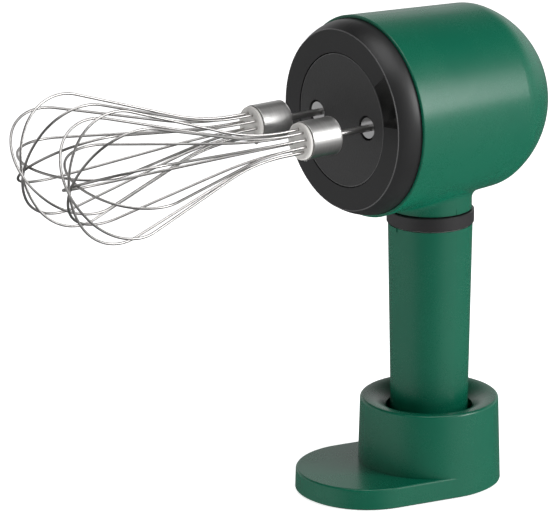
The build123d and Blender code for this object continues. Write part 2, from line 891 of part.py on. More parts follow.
# ---------------------------------------------------------------- front cap and plate
cap_rim_radius = shell_rim_radius - cap_rim_inset
cap_back_y = shell_rim_y + cap_spigot_length
recess_radius = face_plate_radius + face_plate_gap
window_inner = recess_radius + window_margin
window_outer = cap_face_radius - window_margin
hull_right = tip_radius(drive_teeth) + tooth_gap + housing_wall
hull_idler = tip_radius(idler_large_teeth) + tooth_gap + housing_wall
cap_screw_circle = cap_face_radius - cap_screw_inset

# The upper screw sits just outside the straight side that joins the right gear's
# wall to the idler's wall, square to the middle of that side.
idler_span = sqrt((idler_centre[0] - spindle_x) ** 2 + idler_centre[1] ** 2)
wall_lean_deg = degrees(asin((hull_right - hull_idler) / idler_span))
wall_normal_deg = bearing_deg(right_centre, idler_centre) - 90 + wall_lean_deg
wall_distance = spindle_x * cos(radians(wall_normal_deg)) + hull_right
upper_screw = polar(wall_distance + screw_head_radius + upper_screw_gap, wall_normal_deg)
cap_screw_spots = [upper_screw] + [polar(cap_screw_circle, turn) for turn in lower_screws_deg]


def face_sector(y0, y1, inner, outer, start_deg, end_deg, mode=Mode.ADD):
    """Add or cut a ring sector about the head's axis."""
    with BuildSketch(facing(y1)) as section:
        ring_sector(start_deg, end_deg, inner, outer)
    extrude(section.sketch, amount=y1 - y0, mode=mode)


with BuildPart() as front_cap:
    with BuildSketch(head_section()):
        with BuildLine():
            face = Line((face_y, 0), (face_y, cap_face_radius))
            bulge = ThreePointArc(
                face @ 1,
                (
                    face_y + cap_bulge_forward * cap_depth,
                    cap_face_radius + cap_bulge_out * (cap_step - cap_rim_inset),
                ),
                (shell_rim_y, cap_rim_radius),
            )
            Polyline(bulge @ 1, (cap_back_y, cap_rim_radius), (cap_back_y, 0), (face_y, 0))
        make_face()
    revolve(axis=head_axis())
    front_rim = front_cap.edges().filter_by(GeomType.CIRCLE).sort_by(Axis.Y)[0]
    fillet(front_rim, cap_edge_radius)
    with BuildSketch(head_section()):
        Polygon(
            (web_back_y, 0),
            (web_back_y, cap_face_radius - cap_inner_relief),
            (shell_rim_y, cap_rim_radius - cap_wall),
            (cap_back_y, cap_rim_radius - cap_wall),
            (cap_back_y, 0),
            align=None,
        )
    revolve(axis=head_axis(), mode=Mode.SUBTRACT)
    disc(face_y, plate_back_y, recess_radius, mode=Mode.SUBTRACT)
    for centre in (left_centre, right_centre):
        disc(
            plate_back_y, web_back_y, socket_radius + 2 * socket_hole_gap,
            centre=centre, mode=Mode.SUBTRACT,
        )
    face_sector(
        face_y, web_back_y, window_inner, window_outer,
        window_start_deg, window_end_deg, mode=Mode.SUBTRACT,
    )
    for spot in cap_screw_spots:
        disc(web_back_y - cap_pilot_depth, web_back_y, screw_radius, centre=spot, mode=Mode.SUBTRACT)
keep(front_cap.part, "front_cap")

with BuildPart() as face_plate:
    disc(plate_front_y, plate_back_y, face_plate_radius)
    plate_edge = face_plate.edges().filter_by(GeomType.CIRCLE).sort_by(Axis.Y)[0]
    chamfer(plate_edge, face_plate_edge)
    for centre in (left_centre, right_centre):
        disc(
            plate_front_y, plate_back_y, socket_radius + socket_hole_gap,
            centre=centre, mode=Mode.SUBTRACT,
        )
keep(face_plate.part, "face_plate")

with BuildPart() as indicator_window:
    face_sector(
        face_y, face_y + window_thickness, window_inner, window_outer,
        window_start_deg, window_end_deg,
    )
keep(indicator_window.part, "indicator_window")

led_circle = (window_inner + window_outer) / 2
led_step_deg = (window_end_deg - window_start_deg) / (led_count + 1)
window_board_y1 = web_back_y - window_board_gap
window_board_y0 = window_board_y1 - window_board_thickness
with BuildPart() as indicator_board:
    face_sector(
        window_board_y0, window_board_y1,
        window_inner + window_board_inset, window_outer - window_board_inset,
        window_start_deg + 1, window_end_deg - 1,
    )
    for number in range(1, led_count + 1):
        led = polar(led_circle, window_start_deg + number * led_step_deg)
        disc(window_board_y0 - led_height + window_board_gap, window_board_y0 + window_board_gap,
             led_radius, centre=led)
keep(indicator_board.part, "indicator_board")


# ---------------------------------------------------------------- gearbox housing
def housing_outline(inset):
    """Draw the hull round the two drive gears and the large idler gear."""
    with Locations(left_centre, right_centre):
        Circle(hull_right - inset)
    with Locations(idler_centre):
        Circle(hull_idler - inset)
    make_hull()


pillar_drive = tip_radius(drive_teeth) + pillar_radius + pillar_clearance
pillar_idler = tip_radius(idler_large_teeth) + pillar_radius + pillar_clearance
pillars = [
    circle_crossing(right_centre, pillar_drive, left_centre, pillar_drive),
    circle_crossing(left_centre, pillar_drive, idler_centre, pillar_idler),
    circle_crossing(idler_centre, pillar_idler, right_centre, pillar_drive),
]
front_bush_radius = socket_radius + running_fit + bush_wall_front
rear_bush_radius = journal_radius + running_fit + bush_wall_rear
motor_screw_spots = [polar(motor_screw_offset, motor_screw_deg + half) for half in (0, 180)]

with BuildPart() as gearbox_front:
    with BuildSketch(facing(gearbox_front_y)):
        housing_outline(0.0)
        for spot in cap_screw_spots:
            with Locations(spot):
                Circle(screw_head_radius + cap_screw_lug)
            with BuildLine():
                Line((0, 0), spot)
            trace(line_width=2 * screw_head_radius)
    extrude(amount=housing_plate)
    for centre in (left_centre, right_centre):
        disc(web_back_y, gearbox_front_y, front_bush_radius, centre=centre, mode=Mode.SUBTRACT)
    disc(
        gearbox_front_y - axle_seat, gearbox_front_y, axle_radius,
        centre=idler_centre, mode=Mode.SUBTRACT,
    )
    for spot in cap_screw_spots:
        disc(
            web_back_y, gearbox_front_y, screw_radius + screw_clearance,
            centre=spot, mode=Mode.SUBTRACT,
        )
    for spot in pillars:
        disc(
            web_back_y + pilot_setback, gearbox_front_y, screw_radius,
            centre=spot, mode=Mode.SUBTRACT,
        )
keep(gearbox_front.part, "gearbox_front")

with BuildPart() as gearbox_rear:
    with BuildSketch(facing(gearbox_back_y)):
        housing_outline(0.0)
    extrude(amount=gearbox_back_y - gearbox_front_y)
    with BuildSketch(facing(gearbox_floor_y)):
        housing_outline(housing_wall)
    extrude(amount=gearbox_floor_y - gearbox_front_y, mode=Mode.SUBTRACT)
    for centre in (left_centre, right_centre):
        disc(rear_bush_y0, gearbox_floor_y, rear_bush_radius + bush_boss_wall, centre=centre)
        disc(rear_bush_y0, gearbox_back_y, rear_bush_radius, centre=centre, mode=Mode.SUBTRACT)
    for spot in pillars:
        disc(gearbox_front_y, gearbox_back_y, pillar_radius, centre=spot)
        disc(
            gearbox_front_y, gearbox_back_y, screw_radius + screw_clearance,
            centre=spot, mode=Mode.SUBTRACT,
        )
        disc(
            gearbox_back_y - screw_head_height, gearbox_back_y,
            screw_head_radius + screw_clearance, centre=spot, mode=Mode.SUBTRACT,
        )
    disc(gearbox_floor_y, gearbox_back_y, motor_boss_radius + boss_hole_gap, mode=Mode.SUBTRACT)
    disc(
        gearbox_floor_y, gearbox_floor_y + axle_rear_seat, axle_radius,
        centre=idler_centre, mode=Mode.SUBTRACT,
    )
    for spot in motor_screw_spots:
        disc(
            gearbox_floor_y, gearbox_back_y, screw_radius + screw_clearance,
            centre=spot, mode=Mode.SUBTRACT,
        )
        disc(
            gearbox_floor_y, gearbox_floor_y + motor_screw_head_height,
            screw_head_radius + screw_clearance,
            centre=spot, mode=Mode.SUBTRACT,
        )
keep(gearbox_rear.part, "gearbox_rear")

screw_tip_y = web_back_y + pilot_setback + pilot_tip_gap
with BuildPart() as gearbox_screws:
    for spot in pillars:
        screw_along_y(gearbox_back_y - screw_head_height, screw_tip_y, spot)
keep(gearbox_screws.part, "gearbox_screws")

with BuildPart() as cap_screws:
    for spot in cap_screw_spots:
        screw_along_y(gearbox_front_y, web_back_y - cap_screw_bite, spot)
keep(cap_screws.part, "cap_screws")

with BuildPart() as motor_screws:
    for spot in motor_screw_spots:
        head_y = gearbox_floor_y + motor_screw_head_height
        disc(gearbox_floor_y + motor_screw_head_gap, head_y, screw_head_radius, centre=spot)
        disc(head_y, gearbox_back_y + motor_wall, screw_radius, centre=spot)
keep(motor_screws.part, "motor_screws")

with BuildPart() as spindle_bushes:
    for centre in (left_centre, right_centre):
        disc(
            web_back_y, gearbox_front_y + bush_proud, front_bush_radius,
            socket_radius + running_fit, centre=centre,
        )
        disc(
            rear_bush_y0, gearbox_back_y, rear_bush_radius,
            journal_radius + running_fit, centre=centre,
        )
keep(spindle_bushes.part, "spindle_bushes")

with BuildPart() as idler_axle:
    disc(
        gearbox_front_y - axle_seat, gearbox_floor_y + axle_rear_seat, axle_radius,
        centre=idler_centre,
    )
keep(idler_axle.part, "idler_axle")

with BuildPart() as idler_gear:
    idler_bore = axle_radius + running_fit
    hub_radius = pitch_radius(idler_small_teeth) - (dedendum + 0.5) * gear_module
    gear_body(idler_y0, idler_y1, idler_small_teeth, idler_turn, idler_bore, idler_centre)
    disc(idler_y1, large_gear_y0, hub_radius, idler_bore, centre=idler_centre)
    gear_body(
        large_gear_y0, large_gear_y1, idler_large_teeth, idler_turn, idler_bore, idler_centre
    )
keep(idler_gear.part, "idler_gear")

# ---------------------------------------------------------------- spindles and drive gears
stem_bore = stem_radius + stem_fit
stem_end_y = journal_y0 + stem_reach
spindle_front_y = plate_front_y + socket_recess
clip_y = drive_gear_y1 - clip_setback


def build_spindle(centre):
    """Turned drive spindle with a keyed socket bore and a flat for its gear."""
    with BuildPart() as spindle:
        disc(spindle_front_y, journal_y0, socket_radius, centre=centre)
        disc(journal_y0, spindle_back_y, journal_radius, centre=centre)
        mouth = spindle.edges().filter_by(GeomType.CIRCLE).sort_by(Axis.Y)[0]
        chamfer(mouth, socket_mouth_chamfer)
        disc(
            spindle_front_y, stem_end_y + socket_bore_spare, stem_bore,
            centre=centre, mode=Mode.SUBTRACT,
        )
        with BuildSketch(facing(spindle_front_y + key_length + key_slot_spare, centre)):
            Rectangle(
                stem_radius + key_height + key_fit, key_width + 2 * key_fit,
                align=(Align.MIN, Align.CENTER),
            )
        extrude(amount=key_length + key_slot_spare, mode=Mode.SUBTRACT)
        disc(clip_y, clip_y + clip_wire, stem_bore + clip_wire, centre=centre, mode=Mode.SUBTRACT)
        with BuildSketch(facing(drive_gear_y1, centre)):
            with Locations((0, socket_radius - flat_depth)):
                Rectangle(4 * socket_radius, flat_depth + 1, align=(Align.CENTER, Align.MIN))
        extrude(amount=drive_gear_width, mode=Mode.SUBTRACT)
    return spindle.part


def build_drive_gear(centre, turn):
    """Moulded drive gear with a recessed web and a D-shaped bore."""
    with BuildPart() as gear:
        gear_body(drive_gear_y0, drive_gear_y1, drive_teeth, turn, 0.0, centre)
        web_rim = pitch_radius(drive_teeth) - gear_rim_modules * gear_module
        disc(
            drive_gear_y0, drive_gear_y0 + gear_web_recess, web_rim, socket_radius + gear_hub_wall,
            centre=centre, mode=Mode.SUBTRACT,
        )
        disc(
            drive_gear_y1 - gear_web_recess, drive_gear_y1, web_rim, socket_radius + gear_hub_wall,
            centre=centre, mode=Mode.SUBTRACT,
        )
        with BuildSketch(facing(drive_gear_y1, centre)):
            Circle(socket_radius)
            with Locations((0, socket_radius - flat_depth)):
                Rectangle(
                    4 * socket_radius, flat_depth + 1,
                    align=(Align.CENTER, Align.MIN), mode=Mode.SUBTRACT,
                )
        extrude(amount=drive_gear_width, mode=Mode.SUBTRACT)
    return gear.part


def build_clip(centre):
    """Open spring ring that grips the whisk's stem inside the spindle."""
    with BuildPart() as clip:
        disc(clip_y, clip_y + clip_wire, stem_bore + clip_wire, stem_bore, centre=centre)
        with BuildSketch(facing(clip_y + clip_wire, centre)):
            Rectangle(2 * stem_bore + clip_wire, clip_opening, align=(Align.MAX, Align.CENTER))
        extrude(amount=clip_wire, mode=Mode.SUBTRACT)
    return clip.part


for side_name, centre, turn in (
    ("left", left_centre, left_turn),
    ("right", right_centre, right_turn),
):
    keep(build_spindle(centre), f"spindle_{side_name}")
    keep(build_drive_gear(centre, turn), f"drive_gear_{side_name}")
    keep(build_clip(centre), f"socket_clip_{side_name}")

# ---------------------------------------------------------------- motor
motor_inner = motor_radius - motor_wall
armature_radius = motor_inner - magnet_wall - armature_gap
armature_y0 = gearbox_back_y + armature_setback
armature_y1 = armature_y0 + armature_length
commutator_y0 = armature_y1 + winding_length + winding_gap
commutator_y1 = commutator_y0 + commutator_length
shaft_end_y = motor_end_y + shaft_end_spare

with BuildPart() as motor_can:
    disc(gearbox_back_y, motor_back_y, motor_radius)
    can_edge = motor_can.edges().filter_by(GeomType.CIRCLE).sort_by(Axis.Y)[0]
    fillet(can_edge, motor_wall / 2)
    disc(gearbox_back_y + motor_wall, motor_back_y, motor_inner, mode=Mode.SUBTRACT)
    disc(gearbox_back_y, gearbox_back_y + motor_wall, motor_boss_radius, mode=Mode.SUBTRACT)
    for spot in motor_screw_spots:
        disc(
            gearbox_back_y, gearbox_back_y + motor_wall, screw_radius,
            centre=spot, mode=Mode.SUBTRACT,
        )
keep(motor_can.part, "motor_can")

with BuildPart() as motor_magnets:
    for middle_deg in (90, 270):
        face_sector(
            armature_y0 - magnet_overhang, armature_y1 + magnet_overhang,
            motor_inner - magnet_wall, motor_inner,
            middle_deg - magnet_span_deg / 2, middle_deg + magnet_span_deg / 2,
        )
keep(motor_magnets.part, "motor_magnets")

with BuildPart() as motor_end_cap:
    disc(motor_back_y, motor_end_y, motor_radius)
    cap_edge = motor_end_cap.edges().filter_by(GeomType.CIRCLE).sort_by(Axis.Y)[-1]
    fillet(cap_edge, motor_cap_edge)
    disc(motor_back_y, motor_end_y, motor_boss_radius, mode=Mode.SUBTRACT)
    for side in (-1, 1):
        with BuildSketch(facing(motor_end_y + terminal_height)):
            with Locations((side * terminal_spread, 0)):
                Rectangle(terminal_thickness, terminal_width)
        extrude(amount=terminal_height)
keep(motor_end_cap.part, "motor_end_cap")

with BuildPart() as motor_bushes:
    disc(
        gearbox_back_y - motor_boss_length, gearbox_back_y + motor_wall + motor_boss_length,
        motor_boss_radius, motor_shaft_radius + running_fit,
    )
    disc(
        motor_back_y, motor_end_y, motor_boss_radius, motor_shaft_radius + running_fit,
    )
keep(motor_bushes.part, "motor_bushes")

with BuildPart() as motor_shaft:
    disc(pinion_y0, shaft_end_y, motor_shaft_radius)
keep(motor_shaft.part, "motor_shaft")

with BuildPart() as motor_pinion:
    gear_body(
        pinion_y0, pinion_y0 + pinion_length, pinion_teeth, pinion_turn,
        motor_shaft_radius, (0.0, 0.0),
    )
keep(motor_pinion.part, "motor_pinion")

with BuildPart() as armature_core:
    disc(armature_y0, armature_y1, armature_radius, motor_shaft_radius)
    with BuildSketch(facing(armature_y1)):
        with PolarLocations(armature_radius, slot_count):
            Rectangle(2 * slot_neck_share * armature_radius, slot_width)
        with PolarLocations(slot_centre_share * armature_radius, slot_count):
            Circle(slot_bulb_share * armature_radius)
    extrude(amount=armature_length, mode=Mode.SUBTRACT)
keep(armature_core.part, "armature_core")

with BuildPart() as armature_windings:
    for y0, y1 in (
        (armature_y0 - winding_length, armature_y0),
        (armature_y1, armature_y1 + winding_length),
    ):
        disc(y0, y1, armature_radius - winding_inset, motor_shaft_radius + winding_bore_gap)
    outer_turns = armature_windings.edges().filter_by(GeomType.CIRCLE).group_by(SortBy.RADIUS)[-1]
    fillet(outer_turns, winding_edge)
keep(armature_windings.part, "armature_windings")

with BuildPart() as commutator:
    disc(commutator_y0, commutator_y1, commutator_radius, motor_shaft_radius)
    with BuildSketch(facing(commutator_y1)):
        with PolarLocations(commutator_radius, slot_count, start_angle=180 / slot_count):
            Rectangle(2 * segment_gap_depth, segment_gap)
    extrude(amount=commutator_length, mode=Mode.SUBTRACT)
keep(commutator.part, "commutator")

brush_inner = commutator_radius + brush_gap
with BuildPart() as motor_brushes:
    for side in (-1, 1):
        with BuildSketch(facing(commutator_y1 - brush_setback)):
            with Locations((side * (brush_inner + brush_length / 2), 0)):
                Rectangle(brush_length, brush_width)
        extrude(amount=brush_depth)
        with BuildSketch(facing(motor_back_y)):
            with Locations((side * (brush_inner + brush_length - brush_arm_width / 2), 0)):
                Rectangle(brush_arm_width, brush_width)
        extrude(amount=motor_back_y - commutator_y1 + brush_setback)
keep(motor_brushes.part, "motor_brushes")

board_back_y = board_y + board_thickness
with BuildPart() as control_board:
    disc(board_y, board_back_y, board_radius)
    with BuildSketch(facing(board_back_y + capacitor_height)):
        with Locations((board_radius * 0.36, -board_radius * 0.29)):
            Circle(capacitor_radius)
        with Locations((-board_radius / 3, -board_radius * 0.24)):
            Rectangle(driver_length, driver_width)
    extrude(amount=capacitor_height)
    with BuildSketch(facing(board_back_y + chip_height)):
        with Locations((0, board_radius * 0.38)):
            Rectangle(chip_length, chip_width)
    extrude(amount=chip_height)
    disc(board_y, board_back_y, board_centre_hole, mode=Mode.SUBTRACT)
keep(control_board.part, "control_board")

# ---------------------------------------------------------------- whisks
ferrule_back_y = face_y - ferrule_standoff
ferrule_front_y = ferrule_back_y - ferrule_length
core_face_y = ferrule_front_y - core_gap - core_flange_thickness
loop_step = 2 * wire_radius + loop_gap
flare = radians(whisk_flare_deg)
nose = radians(whisk_nose_deg)
whisk_straight = (
    whisk_radius
    - wire_circle_radius
    - (whisk_neck_radius + whisk_shoulder_radius) * (1 - cos(flare))
) / sin(flare)
shoulder_end_radius = whisk_radius - whisk_shoulder_radius * (1 - cos(nose))
whisk_nose_radius = shoulder_end_radius / cos(nose)
whisk_lead = whisk_reach - (
    whisk_neck_radius * sin(flare)
    + whisk_straight * cos(flare)
    + whisk_shoulder_radius * (sin(flare) + sin(nose))
    + whisk_nose_radius * (1 - sin(nose))
    + (loop_count - 1) * loop_step
)


def loop_plane(centre, turn):
    """Plane through a whisk's axis: its x is -Y and its y points out at turn degrees."""
    out = (cos(radians(turn)), 0, sin(radians(turn)))
    return Plane(
        origin=(centre[0], core_face_y, head_z + centre[1]),
        x_dir=(0, -1, 0),
        z_dir=(-out[2], 0, out[0]),
    )


def build_wires(centre, turn):
    """The spring wire loops, stacked along the axis where they cross at the tip."""
    with BuildPart() as wires:
        for number in range(loop_count):
            plane = loop_plane(centre, turn + number * 180 / loop_count)
            lead = whisk_lead + number * loop_step
            start = (-wire_embed, wire_circle_radius)
            with BuildLine(plane) as path:
                go = Line(start, (lead, wire_circle_radius))
                out = JernArc(go @ 1, (1, 0), whisk_neck_radius, whisk_flare_deg)
                slope = (cos(flare), sin(flare))
                end_x = lead + whisk_neck_radius * sin(flare)
                end_y = wire_circle_radius + whisk_neck_radius * (1 - cos(flare))
                Line(
                    (end_x, end_y),
                    (end_x + whisk_straight * slope[0], end_y + whisk_straight * slope[1]),
                )
                top_x = end_x + whisk_straight * slope[0]
                top_y = end_y + whisk_straight * slope[1]
                turn_in = whisk_flare_deg + whisk_nose_deg
                JernArc((top_x, top_y), slope, whisk_shoulder_radius, -turn_in)
                nose_x = top_x + whisk_shoulder_radius * (sin(flare) + sin(nose))
                nose_in = (cos(nose), -sin(nose))
                JernArc(
                    (nose_x, shoulder_end_radius), nose_in,
                    whisk_nose_radius, 2 * whisk_nose_deg - 180,
                )
                back = (-cos(nose), -sin(nose))
                JernArc((nose_x, -shoulder_end_radius), back, whisk_shoulder_radius, -turn_in)
                Line((top_x, -top_y), (end_x, -end_y))
                homeward = (-cos(flare), sin(flare))
                JernArc((end_x, -end_y), homeward, whisk_neck_radius, whisk_flare_deg)
                Line((lead, -wire_circle_radius), (-wire_embed, -wire_circle_radius))
            with BuildSketch(Plane(origin=plane.from_local_coords(start), z_dir=(0, -1, 0))):
                Circle(wire_radius)
            sweep(path=path.wires()[0])
    return wires.part


def build_core(centre, turn):
    """Moulded core that holds the wire ends inside the ferrule."""
    with BuildPart() as core:
        inner = ferrule_radius - ferrule_wall
        disc(ferrule_front_y, ferrule_back_y - ferrule_wall, inner, centre=centre)
        disc(ferrule_front_y - core_gap, ferrule_front_y, inner - core_neck_inset, centre=centre)
        flange_radius = ferrule_radius - core_flange_inset
        disc(core_face_y, ferrule_front_y - core_gap, flange_radius, centre=centre)
        rim = core.edges().filter_by(GeomType.CIRCLE).sort_by(Axis.Y)[0]
        chamfer(rim, core_chamfer)
        with BuildSketch(facing(core_face_y + wire_embed, centre)):
            with PolarLocations(wire_circle_radius, 2 * loop_count, start_angle=turn):
                Circle(wire_radius + wire_fit)
        extrude(amount=wire_embed, mode=Mode.SUBTRACT)
        disc(
            core_face_y + core_socket_setback, ferrule_back_y - ferrule_wall, stem_radius,
            centre=centre, mode=Mode.SUBTRACT,
        )
        cross_pin(centre, mode=Mode.SUBTRACT)
    return core.part


pin_y = ferrule_front_y + whisk_pin_setback


def cross_pin(centre, mode=Mode.ADD):
    """Add or cut the short pin that locks a whisk's core in its ferrule, below the axis."""
    top = head_z + centre[1] - wire_circle_radius - wire_radius - whisk_pin_radius
    bottom = head_z + centre[1] - ferrule_radius - whisk_pin_proud
    upright_disc(bottom, top, whisk_pin_radius, centre=(centre[0], pin_y), mode=mode)


def build_ferrule(centre):
    """Deep-drawn steel sleeve, closed at the back round the stem."""
    with BuildPart() as ferrule:
        disc(ferrule_front_y, ferrule_back_y, ferrule_radius, centre=centre)
        back_rim = ferrule.edges().filter_by(GeomType.CIRCLE).sort_by(Axis.Y)[-1]
        fillet(back_rim, ferrule_wall)
        disc(
            ferrule_front_y, ferrule_back_y - ferrule_wall, ferrule_radius - ferrule_wall,
            centre=centre, mode=Mode.SUBTRACT,
        )
        disc(
            ferrule_back_y - ferrule_wall, ferrule_back_y, stem_radius,
            centre=centre, mode=Mode.SUBTRACT,
        )
        cross_pin(centre, mode=Mode.SUBTRACT)
    return ferrule.part


def build_stem(centre):
    """Round stem with the key that drives it in the socket."""
    with BuildPart() as stem:
        disc(core_face_y + core_socket_setback, stem_end_y, stem_radius, centre=centre)
        tip = stem.edges().filter_by(GeomType.CIRCLE).sort_by(Axis.Y)[-1]
        chamfer(tip, stem_tip_chamfer)
        with BuildSketch(facing(spindle_front_y + key_length, centre)):
            Rectangle(stem_radius + key_height, key_width, align=(Align.MIN, Align.CENTER))
        extrude(amount=key_length - key_slot_spare)
    return stem.part


def build_pin(centre):
    with BuildPart() as pin:
        cross_pin(centre)
    return pin.part


for side_name, centre, turn in (
    ("left", left_centre, whisk_turn_left_deg),
    ("right", right_centre, whisk_turn_right_deg),
):
    keep(build_stem(centre), f"whisk_stem_{side_name}")
    keep(build_ferrule(centre), f"whisk_ferrule_{side_name}")
    keep(build_core(centre, turn), f"whisk_core_{side_name}")
    keep(build_wires(centre, turn), f"whisk_wires_{side_name}")
    keep(build_pin(centre), f"whisk_pin_{side_name}")
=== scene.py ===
from math import cos, radians, sin

import bpy
from mathutils import Matrix, Vector


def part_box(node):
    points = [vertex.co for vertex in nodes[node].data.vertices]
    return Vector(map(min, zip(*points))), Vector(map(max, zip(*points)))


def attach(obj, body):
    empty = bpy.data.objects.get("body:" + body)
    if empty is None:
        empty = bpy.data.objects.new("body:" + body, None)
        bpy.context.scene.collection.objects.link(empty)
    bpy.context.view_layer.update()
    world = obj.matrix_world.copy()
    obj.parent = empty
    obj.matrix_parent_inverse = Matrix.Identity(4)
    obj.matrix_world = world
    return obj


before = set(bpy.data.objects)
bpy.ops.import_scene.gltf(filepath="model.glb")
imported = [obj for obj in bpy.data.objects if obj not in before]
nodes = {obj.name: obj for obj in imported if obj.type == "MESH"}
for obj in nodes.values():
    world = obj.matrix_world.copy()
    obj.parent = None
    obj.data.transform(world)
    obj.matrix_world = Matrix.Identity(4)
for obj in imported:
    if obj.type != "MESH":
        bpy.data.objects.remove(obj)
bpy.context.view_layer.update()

# A cordless hand mixer standing in its stand: satin emerald plastic, a black front
# cap, and two balloon whisks of polished wire. Metres, +Z up, whisks along -Y.


# ---------------------------------------------------------------- camera
view_azimuth = radians(53.30)
view_height = radians(16.63)
view_roll = radians(-0.285)
view_distance = 1.63074
aim = Vector((0.0, -0.08219, 0.11410))



def heading(azimuth, height):
    """The direction at an azimuth and a height, in radians: azimuth 0 is in front of the whisks."""
    return Vector((sin(azimuth) * cos(height), -cos(azimuth) * cos(height), sin(height)))


away = heading(view_azimuth, view_height)
level = Vector((cos(view_azimuth), sin(view_azimuth), 0.0))
upward = away.cross(level)
camera_right = level * cos(view_roll) + upward * sin(view_roll)
camera_top = upward * cos(view_roll) - level * sin(view_roll)

bpy.ops.object.select_all(action="DESELECT")
bpy.ops.object.camera_add()
camera = bpy.context.object
camera.name = "camera"
camera.data.lens = 258.98
camera.data.sensor_width = 36.0
camera.data.clip_start = 0.05
camera.data.clip_end = 60.0
turned = Matrix((camera_right, camera_top, away)).transposed().to_4x4()
camera.matrix_world = Matrix.Translation(aim + away * view_distance) @ turned
bpy.context.scene.camera = camera
bpy.context.scene.view_settings.view_transform = "Standard"


# ---------------------------------------------------------------- studio
def reckon(tree, operation, first, second):
    """One sum on two numbers or sockets."""
    sum_node = tree.nodes.new("ShaderNodeMath")
    sum_node.operation = operation
    for socket, wanted in zip(sum_node.inputs, (first, second)):
        if isinstance(wanted, float):
            socket.default_value = wanted
        else:
            tree.links.new(wanted, socket)
    return sum_node.outputs["Value"]


MIXER_MIDDLE = Vector((0.0, -0.04, 0.11))


def softbox(name, azimuth, height, distance, width, tall, power):
    """A soft panel light that looks at the middle of the mixer."""
    outward = heading(radians(azimuth), radians(height))
    bpy.ops.object.light_add(type="AREA", location=MIXER_MIDDLE + outward * distance)
    lamp = bpy.context.object
    lamp.name = name
    lamp.data.shape = "RECTANGLE"
    lamp.data.size = width
    lamp.data.size_y = tall
    lamp.data.energy = power
    lamp.rotation_mode = "QUATERNION"
    lamp.rotation_quaternion = outward.to_track_quat("Z", "Y")
    return lamp


softbox("right_softbox", 124.0, 20.0, 1.5, 0.50, 0.74, 10.5)
softbox("right_glow", 120.0, 44.0, 1.5, 0.9, 0.6, 2.4)
top_softbox = softbox("top_softbox", 75.0, 80.0, 1.6, 1.2, 1.2, 13.0)
top_softbox.data.specular_factor = 0.5

sky = bpy.data.worlds.new("studio")
bpy.context.scene.world = sky
sky.use_nodes = True
air = sky.node_tree
air.nodes.clear()
sky_out = air.nodes.new("ShaderNodeOutputWorld")
sky_mix = air.nodes.new("ShaderNodeMixShader")
sky_seen = air.nodes.new("ShaderNodeBackground")
sky_seen.inputs["Color"].default_value = (1.0, 1.0, 1.0, 1.0)
sky_glow = air.nodes.new("ShaderNodeBackground")
sky_path = air.nodes.new("ShaderNodeLightPath")
sky_place = air.nodes.new("ShaderNodeTexCoord")

# Two broad white walls stand left and right of a dark gap in front.
gap_azimuth = radians(46.0)
sky_side = air.nodes.new("ShaderNodeVectorMath")
sky_side.operation = "DOT_PRODUCT"
sky_side.inputs[1].default_value = (sin(gap_azimuth), -cos(gap_azimuth), 0.0)
sky_walls = air.nodes.new("ShaderNodeMapRange")
sky_walls.interpolation_type = "SMOOTHSTEP"
sky_walls.inputs["From Min"].default_value = 0.985
sky_walls.inputs["From Max"].default_value = 0.60
sky_walls.inputs["To Min"].default_value = 0.0
sky_walls.inputs["To Max"].default_value = 1.0

# The walls are brightest just under the horizon and fade to a dark ceiling.
sky_height = air.nodes.new("ShaderNodeSeparateXYZ")
sky_shift = air.nodes.new("ShaderNodeMapRange")
sky_shift.inputs["From Min"].default_value = -1.0
sky_shift.inputs["From Max"].default_value = 1.0
sky_fade = air.nodes.new("ShaderNodeValToRGB")
fade_stops = (
    (0.0, 0.20), (0.20, 0.28), (0.36, 0.64), (0.48, 0.80),
    (0.66, 0.86), (0.77, 0.26), (0.87, 0.04), (1.0, 0.02),
)
stops = sky_fade.color_ramp.elements
stops[0].position, stops[1].position = fade_stops[0][0], fade_stops[-1][0]
for position, _ in fade_stops[1:-1]:
    stops.new(position)
for stop, (_, level_grey) in zip(stops, fade_stops):
    stop.color = (level_grey, level_grey, level_grey, 1.0)

# Behind the mixer the floor side of the room is dimmer than the walls above it.
sky_behind = air.nodes.new("ShaderNodeMapRange")
sky_behind.inputs["From Min"].default_value = 0.25
sky_behind.inputs["From Max"].default_value = -0.75
sky_behind.inputs["To Max"].default_value = 0.75
sky_below = air.nodes.new("ShaderNodeMapRange")
sky_below.inputs["From Min"].default_value = 0.06
sky_below.inputs["From Max"].default_value = -0.18
air.links.new(sky_side.outputs["Value"], sky_behind.inputs["Value"])
air.links.new(sky_height.outputs["Z"], sky_below.inputs["Value"])
dimmed = reckon(air, "MULTIPLY", sky_behind.outputs["Result"], sky_below.outputs["Result"])
undimmed = reckon(air, "SUBTRACT", 1.0, dimmed)
walled = reckon(air, "MULTIPLY", sky_walls.outputs["Result"], undimmed)
air.links.new(sky_place.outputs["Generated"], sky_side.inputs[0])
air.links.new(sky_place.outputs["Generated"], sky_height.inputs["Vector"])
air.links.new(sky_side.outputs["Value"], sky_walls.inputs["Value"])
air.links.new(sky_height.outputs["Z"], sky_shift.inputs["Value"])
air.links.new(sky_shift.outputs["Result"], sky_fade.inputs["Fac"])
sky_level = reckon(air, "MULTIPLY", walled, sky_fade.outputs["Color"])
air.links.new(sky_level, sky_glow.inputs["Strength"])
air.links.new(sky_path.outputs["Is Camera Ray"], sky_mix.inputs["Fac"])
air.links.new(sky_glow.outputs["Background"], sky_mix.inputs[1])
air.links.new(sky_seen.outputs["Background"], sky_mix.inputs[2])
air.links.new(sky_mix.outputs["Shader"], sky_out.inputs["Surface"])


